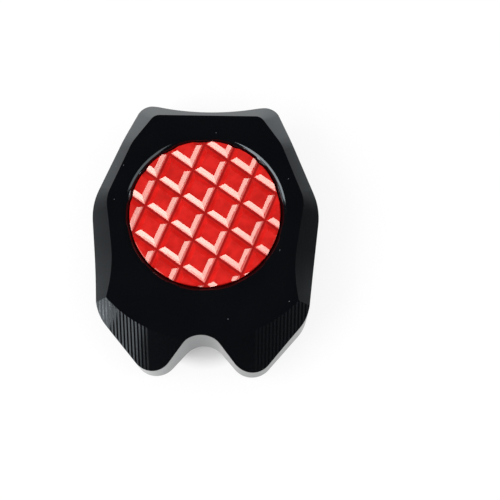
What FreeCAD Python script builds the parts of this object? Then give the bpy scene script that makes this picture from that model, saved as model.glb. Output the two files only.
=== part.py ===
import FreeCAD, Part
import math
import os

# Foot pad that lengthens the tang of a motorbike's centre stand. Sizes in millimetres.
# X runs across the pad, Y towards the far side where the tang goes in, Z up.
# The origin lies on the base, under the middle of the tread disc.

# Block: vertical walls, and a bevel round the far and side edges of the top
block_height = 19.0
bevel_slope = 1.0

# Wall outline, right half: each sharp corner and the radius that rounds it
hollow_y = 26.7
hollow_radius = 44.0
far_corner_x = 18.2
far_corner_y = 32.4
far_corner_radius = 3.5
side_corner_x = 30.75
side_corner_y = 2.4
side_corner_radius = 16.0
hip_x = 27.7
hip_y = -27.2
hip_radius = 11.0
leg_x = 13.1
leg_y = -44.3
leg_radius = 6.0
notch_y = -29.5
notch_radius = 6.5

# Top face outline, right half: a straight far edge and waisted sides
top_far_x = 14.4
top_far_y = 27.3
top_far_radius = 2.8
top_bend_x = 20.1
top_bend_y = 19.5
top_bend_radius = 12.0
top_side_x = 26.4
top_side_y = 3.9
top_side_radius = 9.0
waist_x = 23.55
waist_y = -14.9
waist_radius = 38.0
top_end_x = 31.7
top_end_y = -60.3
top_end_radius = 5.0

# Sloping toe: a cone about the disc's axis, with milled ribs along Y towards the sides
toe_radius = 34.3
toe_slope = 1.0
toe_drop = 12.0
rib_start = 14.0
rib_pitch = 0.94
rib_count = 16
rib_depth = 0.09

# Tread disc, flush with the block in a round recess with a rounded rim
disc_radius = 20.0
disc_thickness = 4.5
disc_edge = 0.2
disc_fit = 0.05
rim_radius = 2.3
recess_floor = block_height - disc_thickness

# Diamond tread: two families of round-bottomed V-grooves that cross at the disc's centre
diamond_long = 12.5
diamond_short = 9.87
tread_turn = 16.55
groove_half_width = 1.8
groove_tilt = 40.0
groove_nose = 1.1

# Socket for the stand's tang: an obround slot from the far side, closed towards the toe
socket_width = 25.0
socket_height = 6.5
socket_floor = 5.0
socket_end_y = -5.0

# Clamp screws: M6 grub screws up through the base, on the centre line
screw_radius = 3.0
screw_fit = 0.05
screw_length = 6.0
screw_end = 0.6
screw_sink = 0.5
screw_mouth = 0.4
key_width = 3.0
key_depth = 3.0
screw_near_y = 6.0
screw_far_y = 20.0

past = 1.0
UP = FreeCAD.Vector(0, 0, 1)
CENTRE = FreeCAD.Vector(0, 0, 0)


def point(x, y, z=0.0):
    return FreeCAD.Vector(x, y, z)


def mirrored(corners):
    """The left half of an outline: the right half's corners, in turn round the far side."""
    return [(-x, y, radius) for x, y, radius in reversed(corners)]


def rounded_outline(corners, z):
    """Closed wire through corners (x, y, radius), each rounded by a tangent arc."""
    arcs = []
    for i, (x, y, radius) in enumerate(corners):
        here = point(x, y, z)
        before = point(corners[i - 1][0], corners[i - 1][1], z)
        after_corner = corners[(i + 1) % len(corners)]
        after = point(after_corner[0], after_corner[1], z)
        back = (before - here).normalize()
        on = (after - here).normalize()
        half = back.getAngle(on) / 2
        reach = radius / math.tan(half)
        inward = (back + on).normalize()
        middle = here + inward * (radius / math.sin(half) - radius)
        arcs.append((here + back * reach, middle, here + on * reach))
    edges = []
    for i, (start, middle, end) in enumerate(arcs):
        edges.append(Part.Arc(start, middle, end).toShape())
        edges.append(Part.makeLine(end, arcs[(i + 1) % len(arcs)][0]))
    return Part.Wire(edges)


def wall_outline():
    right = [
        (far_corner_x, far_corner_y, far_corner_radius),
        (side_corner_x, side_corner_y, side_corner_radius),
        (hip_x, hip_y, hip_radius),
        (leg_x, leg_y, leg_radius),
    ]
    hollow = [(0.0, hollow_y, hollow_radius)]
    notch = [(0.0, notch_y, notch_radius)]
    return rounded_outline(hollow + right + notch + mirrored(right), 0.0)


def top_outline():
    right = [
        (top_far_x, top_far_y, top_far_radius),
        (top_bend_x, top_bend_y, top_bend_radius),
        (top_side_x, top_side_y, top_side_radius),
        (waist_x, waist_y, waist_radius),
        (top_end_x, top_end_y, top_end_radius),
    ]
    return rounded_outline(right + mirrored(right), block_height)


def bevelled_block():
    walls = Part.Face(wall_outline()).extrude(UP * block_height)
    top = top_outline()
    foot = top.makeOffset2D(block_height / bevel_slope)
    foot.translate(UP * -block_height)
    return walls.common(Part.makeLoft([top, foot], True, True))


def toe_section(x, depth):
    """What the toe's slope takes away in the plane X = x, lowered by depth."""
    start = -math.sqrt((toe_radius - depth) ** 2 - x ** 2)
    end = -math.sqrt((toe_radius + toe_drop) ** 2 - x ** 2)
    middle = (start + end) / 2
    reach = math.hypot(x, middle) - toe_radius
    lip = point(x, start, block_height)
    on_slope = point(x, middle, block_height - toe_slope * reach - depth)
    outer = point(x, end, block_height - toe_slope * toe_drop - depth)
    above_outer = point(x, end, block_height + past)
    above_lip = point(x, start, block_height + past)
    return Part.Wire([
        Part.Arc(lip, on_slope, outer).toShape(),
        Part.makeLine(outer, above_outer),
        Part.makeLine(above_outer, above_lip),
        Part.makeLine(above_lip, lip),
    ])


def ribbed_toe():
    """The milled side of the slope: a ridge at each pitch and a valley halfway between."""
    sections = []
    for i in range(2 * rib_count + 1):
        x = rib_start + i * rib_pitch / 2
        sections.append(toe_section(x, rib_depth * (i % 2)))
    return Part.makeLoft(sections, True, True)


def smooth_toe():
    """The plain middle of the slope, on the legs and beside the notch."""
    outer = toe_radius + toe_drop
    profile = Part.makePolygon([
        point(toe_radius, 0, block_height),
        point(outer, 0, block_height - toe_slope * toe_drop),
        point(outer, 0, block_height + past),
        point(toe_radius, 0, block_height + past),
        point(toe_radius, 0, block_height),
    ])
    ring = Part.Face(profile).revolve(CENTRE, UP, 360)
    middle = Part.makeBox(2 * rib_start, outer + past, block_height + 2 * past, point(-rib_start, -outer - past))
    return ring.common(middle)


def socket_slot():
    """The space for the tang: an obround section, run out through the far wall."""
    end_radius = socket_height / 2
    half_flat = socket_width / 2 - end_radius
    length = far_corner_y - socket_end_y + past
    flat = Part.makeBox(2 * half_flat, length, socket_height, point(-half_flat, socket_end_y, socket_floor))
    middle_z = socket_floor + end_radius
    along = point(0, 1, 0)
    ends = [
        Part.makeCylinder(end_radius, length, point(side * half_flat, socket_end_y, middle_z), along)
        for side in (-1, 1)
    ]
    return flat.multiFuse(ends).removeSplitter()


def screw_hole(y):
    """A clamp screw's tapped hole through the base, with its mouth eased."""
    radius = screw_radius + screw_fit
    hole = Part.makeCylinder(radius, socket_floor + past, point(0, y), UP)
    mouth = Part.makeCone(radius + screw_mouth, radius, screw_mouth, point(0, y), UP)
    return hole.fuse(mouth)


def pad_body():
    body = bevelled_block()
    ribs = ribbed_toe()
    other_ribs = ribs.mirror(CENTRE, point(1, 0, 0))
    body = body.cut([smooth_toe(), ribs, other_ribs])
    recess_radius = disc_radius + disc_fit
    body = body.cut(Part.makeCylinder(recess_radius, disc_thickness + past, point(0, 0, recess_floor), UP))
    rim = [
        edge for edge in body.Edges
        if isinstance(edge.Curve, Part.Circle)
        and abs(edge.Curve.Radius - recess_radius) < 1e-6
        and abs(edge.BoundBox.ZMin - block_height) < 1e-6
    ]
    body = body.makeFillet(rim_radius, rim)
    return body.cut([socket_slot(), screw_hole(screw_near_y), screw_hole(screw_far_y)])


def groove(offset, angle):
    """One round-bottomed V-groove across the disc, offset from the centre and turned about Z."""
    run = disc_radius + past
    tilt = math.radians(groove_tilt)
    opening = groove_half_width + past / math.tan(tilt)
    half_bottom = groove_nose * math.sin(tilt)
    foot_z = block_height - (groove_half_width - half_bottom) * math.tan(tilt)
    bottom_z = foot_z - groove_nose * (1 - math.cos(tilt))
    left_lip = point(-run, offset + opening, block_height + past)
    left_foot = point(-run, offset + half_bottom, foot_z)
    bottom = point(-run, offset, bottom_z)
    right_foot = point(-run, offset - half_bottom, foot_z)
    right_lip = point(-run, offset - opening, block_height + past)
    section = Part.Wire([
        Part.makeLine(left_lip, left_foot),
        Part.Arc(left_foot, bottom, right_foot).toShape(),
        Part.makeLine(right_foot, right_lip),
        Part.makeLine(right_lip, left_lip),
    ])
    cutter = Part.Face(section).extrude(point(2 * run, 0, 0))
    cutter.rotate(CENTRE, UP, angle)
    return cutter


def tread_disc():
    disc = Part.makeCylinder(disc_radius, disc_thickness, point(0, 0, recess_floor), UP)
    rims = [edge for edge in disc.Edges if isinstance(edge.Curve, Part.Circle)]
    disc = disc.makeChamfer(disc_edge, rims)
    side = math.hypot(diamond_long, diamond_short) / 2
    spacing = diamond_long * diamond_short / 2 / side
    lean = math.degrees(math.atan2(diamond_short, diamond_long))
    reach = int(disc_radius / spacing)
    grooves = []
    for way in (-1, 1):
        for step in range(-reach, reach + 1):
            grooves.append(groove(step * spacing, 90 + tread_turn + way * lean))
    return disc.cut(grooves)


def clamp_screw(y):
    """An M6 grub screw with a hexagon socket in its lower end."""
    screw = Part.makeCylinder(screw_radius, screw_length, point(0, y, screw_sink), UP)
    rims = [edge for edge in screw.Edges if isinstance(edge.Curve, Part.Circle)]
    screw = screw.makeChamfer(screw_end, rims)
    corner = key_width / math.sqrt(3)
    corners = []
    for i in range(7):
        angle = math.radians(60 * i)
        corners.append(point(corner * math.cos(angle), y + corner * math.sin(angle), screw_sink))
    socket = Part.Face(Part.makePolygon(corners)).extrude(UP * key_depth)
    return screw.cut(socket)


os.makedirs("parts", exist_ok=True)
pad_body().exportStep("parts/pad_body.step")
tread_disc().exportStep("parts/tread_disc.step")
screws = Part.makeCompound([clamp_screw(screw_near_y), clamp_screw(screw_far_y)])
screws.exportStep("parts/clamp_screws.step")
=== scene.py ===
"""Looks of the centre stand pad: gloss black block, red tread disc, clamp screws, white table."""
import math

import bpy
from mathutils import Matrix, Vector

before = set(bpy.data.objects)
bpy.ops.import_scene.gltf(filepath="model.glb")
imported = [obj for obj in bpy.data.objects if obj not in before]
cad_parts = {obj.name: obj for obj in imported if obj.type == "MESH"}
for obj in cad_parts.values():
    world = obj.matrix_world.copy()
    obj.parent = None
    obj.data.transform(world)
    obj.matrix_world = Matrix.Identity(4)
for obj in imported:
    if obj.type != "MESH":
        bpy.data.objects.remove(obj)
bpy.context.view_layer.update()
scene = bpy.context.scene

BLACK = (0.0, 0.0, 0.0, 1.0)
WHITE = (1.0, 1.0, 1.0, 1.0)

# Height above the base, in millimetres, just under the bottoms of the tread's grooves, where the painted
# groove shade is darkest
groove_floor = 17.82

# Where the paper keeps the most shadow, under the near half of the pad, in metres
near_middle = (0.0, -0.012, 0.0)


class Value:
    """A node's output in a shader expression: arithmetic on it adds Math nodes."""

    def __init__(self, shader, socket):
        self.shader = shader
        self.socket = socket

    def math(self, operation, first, second):
        return self.shader.node("Math", {"operation": operation}, {0: first, 1: second})

    def __add__(self, other):
        return self.math("ADD", self, other)

    def __radd__(self, other):
        return self.math("ADD", other, self)

    def __sub__(self, other):
        return self.math("SUBTRACT", self, other)

    def __rsub__(self, other):
        return self.math("SUBTRACT", other, self)

    def __mul__(self, other):
        return self.math("MULTIPLY", self, other)

    def __rmul__(self, other):
        return self.math("MULTIPLY", other, self)

    def __lt__(self, other):
        return self.math("LESS_THAN", self, other)

    def __gt__(self, other):
        return self.math("GREATER_THAN", self, other)

    def __abs__(self):
        return self.math("ABSOLUTE", self, 0.0)

    def at_most(self, limit):
        return self.math("MINIMUM", self, limit)


class Shader:
    """The nodes of one material, or of the world."""

    def __init__(self, owner):
        owner.use_nodes = True
        self.nodes = owner.node_tree.nodes
        self.links = owner.node_tree.links
        self.nodes.clear()

    def node(self, kind, settings, inputs, output=0):
        """Adds a node, sets it up, feeds its sockets, and returns one of its outputs."""
        made = self.nodes.new("ShaderNode" + kind)
        for name, setting in settings.items():
            if name == "stops":
                self.set_stops(made.color_ramp.elements, setting)
            else:
                setattr(made, name, setting)
        for name, source in inputs.items():
            if isinstance(source, Value):
                self.links.new(source.socket, made.inputs[name])
            else:
                made.inputs[name].default_value = source
        return Value(self, made.outputs[output]) if made.outputs else None

    def set_stops(self, elements, stops):
        """Gives a ramp its (position, grey level) stops."""
        while len(elements) < len(stops):
            elements.new(1.0)
        for element, (position, level) in zip(elements, stops):
            element.position = position
            element.color = (level, level, level, 1.0)

    def place(self, x, y, z):
        """The point on the piece in metres, with each axis scaled."""
        point = self.node("TexCoord", {}, {}, "Object")
        return self.node("Mapping", {}, {"Vector": point, "Scale": (x, y, z)})

    def millimetres(self):
        return self.place(1000, 1000, 1000)

    def axis(self, vector, name):
        """One of a vector's three numbers."""
        return self.node("SeparateXYZ", {}, {"Vector": vector}, name)

    def upward(self):
        """How far the surface faces up, from -1 to 1."""
        return self.axis(self.node("NewGeometry", {}, {}, "Normal"), "Z")

    def ray(self, kind):
        """1 for rays of this kind, 0 for the others."""
        return self.node("LightPath", {}, {}, kind)

    def noise(self, place, scale, detail=3.0):
        return self.node("TexNoise", {}, {"Vector": place, "Scale": scale, "Detail": detail})

    def specks(self, place, scale, size):
        """1 in small scattered dots, 0 between them."""
        spacing = {"Vector": place, "Scale": scale}
        return self.node("TexVoronoi", {}, spacing, "Distance") < size

    def distance(self, place, centre):
        return self.node("VectorMath", {"operation": "DISTANCE"}, {0: place, 1: centre}, "Value")

    def ramp(self, source, *stops):
        return self.node("ValToRGB", {"stops": stops}, {"Fac": source})

    def mixed(self, share, first, second):
        """A colour between first and second."""
        return self.node("Mix", {"data_type": "RGBA"}, {0: share, 6: first, 7: second}, 2)

    def bump(self, height, distance):
        return self.node("Bump", {}, {"Height": height, "Distance": distance})

    def principled(self, **sockets):
        named = {name.replace("_", " "): source for name, source in sockets.items()}
        return self.node("BsdfPrincipled", {}, named)

    def surface(self, shaded):
        """Ends the material in this shader."""
        self.node("OutputMaterial", {}, {"Surface": shaded})


def gloss_black_anodise():
    """Machined aluminium, dyed black and sealed: cutter lines on the slopes and walls, and a little dust."""
    material = bpy.data.materials.new("gloss_black_anodise")
    s = Shader(material)
    point = s.millimetres()
    upward = s.upward()
    sloping = s.ramp(upward, (0.55, 1.0), (0.97, 0.0))
    cutter_lines = s.noise(s.place(40, 40, 5200), 1.0, 2.0)
    cloudy = s.noise(point, 0.09)
    grain = s.noise(point, 9.0, 2.0)
    dust = s.specks(point, 0.28, 0.03) * (upward > 0.6)
    deep_black = (0.0016, 0.0019, 0.0027, 1.0)
    soft_black = (0.0030, 0.0034, 0.0044, 1.0)
    dust_grey = (0.16, 0.17, 0.18, 1.0)
    s.surface(s.principled(
        Base_Color=s.mixed(dust, s.mixed(cloudy, deep_black, soft_black), dust_grey),
        Roughness=0.06 + 0.04 * cloudy + 0.06 * sloping * cutter_lines + 0.3 * dust,
        IOR=1.8,
        Specular_Tint=(0.83, 0.93, 1.0, 1.0),
        Normal=s.bump(0.4 * sloping * cutter_lines + 0.05 * grain, 0.00002),
    ))
    return material


def red_anodise():
    """Bead-blasted aluminium, dyed red and sealed, with painted shade darkening the red along the grooves'
    bottoms.
    """
    material = bpy.data.materials.new("red_anodise")
    s = Shader(material)
    point = s.millimetres()
    grain = s.noise(point, 6.0, 3.0)
    cloudy = s.ramp(s.noise(point, 0.35), (0.35, 0.0), (0.65, 1.0))
    above_floor = s.axis(point, "Z") - groove_floor
    # Painted shade: the red darkens towards the grooves' bottoms, within 0.09 mm of their floor, where shade
    # falls
    painted_groove_shade = s.ramp(above_floor, (0.0, 0.7), (0.09, 0.0))
    groove_shade_red = (0.24, 0.001, 0.002, 1.0)
    deep_red = (0.56, 0.009, 0.007, 1.0)
    clear_red = (0.74, 0.015, 0.012, 1.0)
    s.surface(s.principled(
        Base_Color=s.mixed(painted_groove_shade, s.mixed(cloudy, deep_red, clear_red), groove_shade_red),
        Roughness=0.1 + 0.06 * grain,
        IOR=2.2,
        Specular_Tint=(1.0, 0.9, 0.78, 1.0),
        Normal=s.bump(grain, 0.000004),
    ))
    return material


def black_oxide_steel():
    """Hardened steel under a thin, mottled black oxide."""
    material = bpy.data.materials.new("black_oxide_steel")
    s = Shader(material)
    point = s.millimetres()
    mottle = s.noise(point, 1.4, 4.0)
    grain = s.noise(point, 12.0, 2.0)
    dark_oxide = (0.018, 0.018, 0.020, 1.0)
    pale_oxide = (0.05, 0.05, 0.054, 1.0)
    s.surface(s.principled(
        Base_Color=s.mixed(mottle, dark_oxide, pale_oxide),
        Metallic=0.8,
        Roughness=0.32 + 0.2 * mottle,
        Normal=s.bump(grain, 0.00001),
    ))
    return material


def white_table():
    """Matt white paper under the pad; to the gloss, a painted reflection shows it white close by and darker
    to the sides.
    """
    material = bpy.data.materials.new("white_table")
    s = Shader(material)
    mirrored = s.ray("Is Glossy Ray")
    point = s.place(1, 1, 1)
    # The painted white strip in reflections leans to the left in front of the pad
    lean = 1.1
    in_front = s.axis(point, "Y").at_most(0.0)
    aside = abs(s.axis(point, "X") - lean * in_front)
    # Painted reflection: only for glossy rays, the paper and its white glow fade to black further to the
    # sides of the pad
    painted_reflection_fade = s.ramp(aside, (0.045, 0.0), (0.085, 0.42), (0.115, 0.66), (0.2, 0.8), (0.4, 0.91))
    painted_dark_reflection = mirrored * painted_reflection_fade
    fibres = s.noise(s.millimetres(), 2.0, 4.0)
    pale = s.mixed(fibres, (0.95, 0.95, 0.95, 1.0), (0.98, 0.98, 0.98, 1.0))
    paper = s.principled(Base_Color=s.mixed(painted_dark_reflection, pale, BLACK), Roughness=0.8, Specular_IOR_Level=0.1)
    white = s.node("Emission", {}, {"Color": s.mixed(painted_dark_reflection, WHITE, BLACK), "Strength": 1.0})
    # The shadow is kept in an oval that is narrower across the pad
    beside = s.distance(s.place(1.4, 1, 1), near_middle)
    bright = s.ramp(beside, (0.0225, 0.15), (0.0275, 0.9), (0.042, 0.82))
    white_share = s.ray("Is Camera Ray") * bright + 0.5 * mirrored
    s.surface(s.node("MixShader", {}, {0: white_share, 1: paper, 2: white}))
    return material


def dress(name, material):
    """Gives a node of the frame its finish."""
    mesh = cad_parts[name].data
    mesh.materials.clear()
    mesh.materials.append(material)


def lay_table(size):
    bpy.ops.mesh.primitive_plane_add(size=size)
    table = bpy.context.object
    table.name = "table"
    table.data.materials.append(white_table())


def softbox(name, turn, elevation, distance, width, height, strength):
    """A rectangular lamp that faces the pad, seen from it at this turn from +X and this elevation."""
    lamp = bpy.data.lights.new(name, "AREA")
    lamp.shape = "RECTANGLE"
    lamp.size = width
    lamp.size_y = height
    lamp.energy = strength * math.pi * width * height
    holder = bpy.data.objects.new(name, lamp)
    scene.collection.objects.link(holder)
    across = math.cos(math.radians(elevation))
    towards = Vector((
        across * math.cos(math.radians(turn)),
        across * math.sin(math.radians(turn)),
        math.sin(math.radians(elevation)),
    ))
    holder.location = towards * distance
    holder.rotation_euler = towards.to_track_quat("Z", "Y").to_euler()
    holder.visible_camera = False


def dim_room():
    """Soft fill light, stronger from the far side, in a room that is dark where the gloss mirrors it."""
    world = bpy.data.worlds.new("room")
    scene.world = world
    s = Shader(world)
    way = s.node("TexCoord", {}, {}, "Generated")
    glow = s.ramp(s.axis(way, "Z"), (0.0, 0.06), (0.16, 0.01))
    soft = s.ramp(0.5 + 0.5 * s.axis(way, "Y"), (0.0, 0.5), (1.0, 1.0))
    fill = s.node("Background", {}, {"Color": soft, "Strength": 1.0})
    dark = s.node("Background", {}, {"Color": glow, "Strength": 1.0})
    shaded = s.node("MixShader", {}, {0: s.ray("Is Glossy Ray"), 1: fill, 2: dark})
    s.node("OutputWorld", {}, {"Surface": shaded})


def photo_camera():
    """Looks down on the near side of the pad from about 0.3 m."""
    lens = bpy.data.cameras.new("camera")
    lens.sensor_width = 36.0
    lens.lens = 77.4
    lens.clip_start = 0.01
    camera = bpy.data.objects.new("camera", lens)
    scene.collection.objects.link(camera)
    camera.location = (0.01457, -0.07876, 0.29260)
    camera.rotation_euler = [math.radians(angle) for angle in (14.099, 0.258, 1.0)]
    scene.camera = camera


dress("pad_body", gloss_black_anodise())
dress("tread_disc", red_anodise())
dress("clamp_screws", black_oxide_steel())
lay_table(size=12.0)
dim_room()
softbox("key_softbox", turn=198, elevation=46, distance=0.8, width=0.64, height=0.37, strength=3.6)
softbox("key_strip", turn=221, elevation=22, distance=0.8, width=0.22, height=0.26, strength=4.8)
softbox("side_softbox", turn=-22, elevation=48, distance=0.8, width=0.50, height=0.40, strength=1.3)
softbox("side_strip", turn=-8, elevation=19, distance=0.8, width=0.30, height=0.16, strength=3.8)
softbox("low_card", turn=198, elevation=14, distance=0.7, width=0.66, height=0.30, strength=1.3)
photo_camera()
scene.view_settings.view_transform = "Standard"
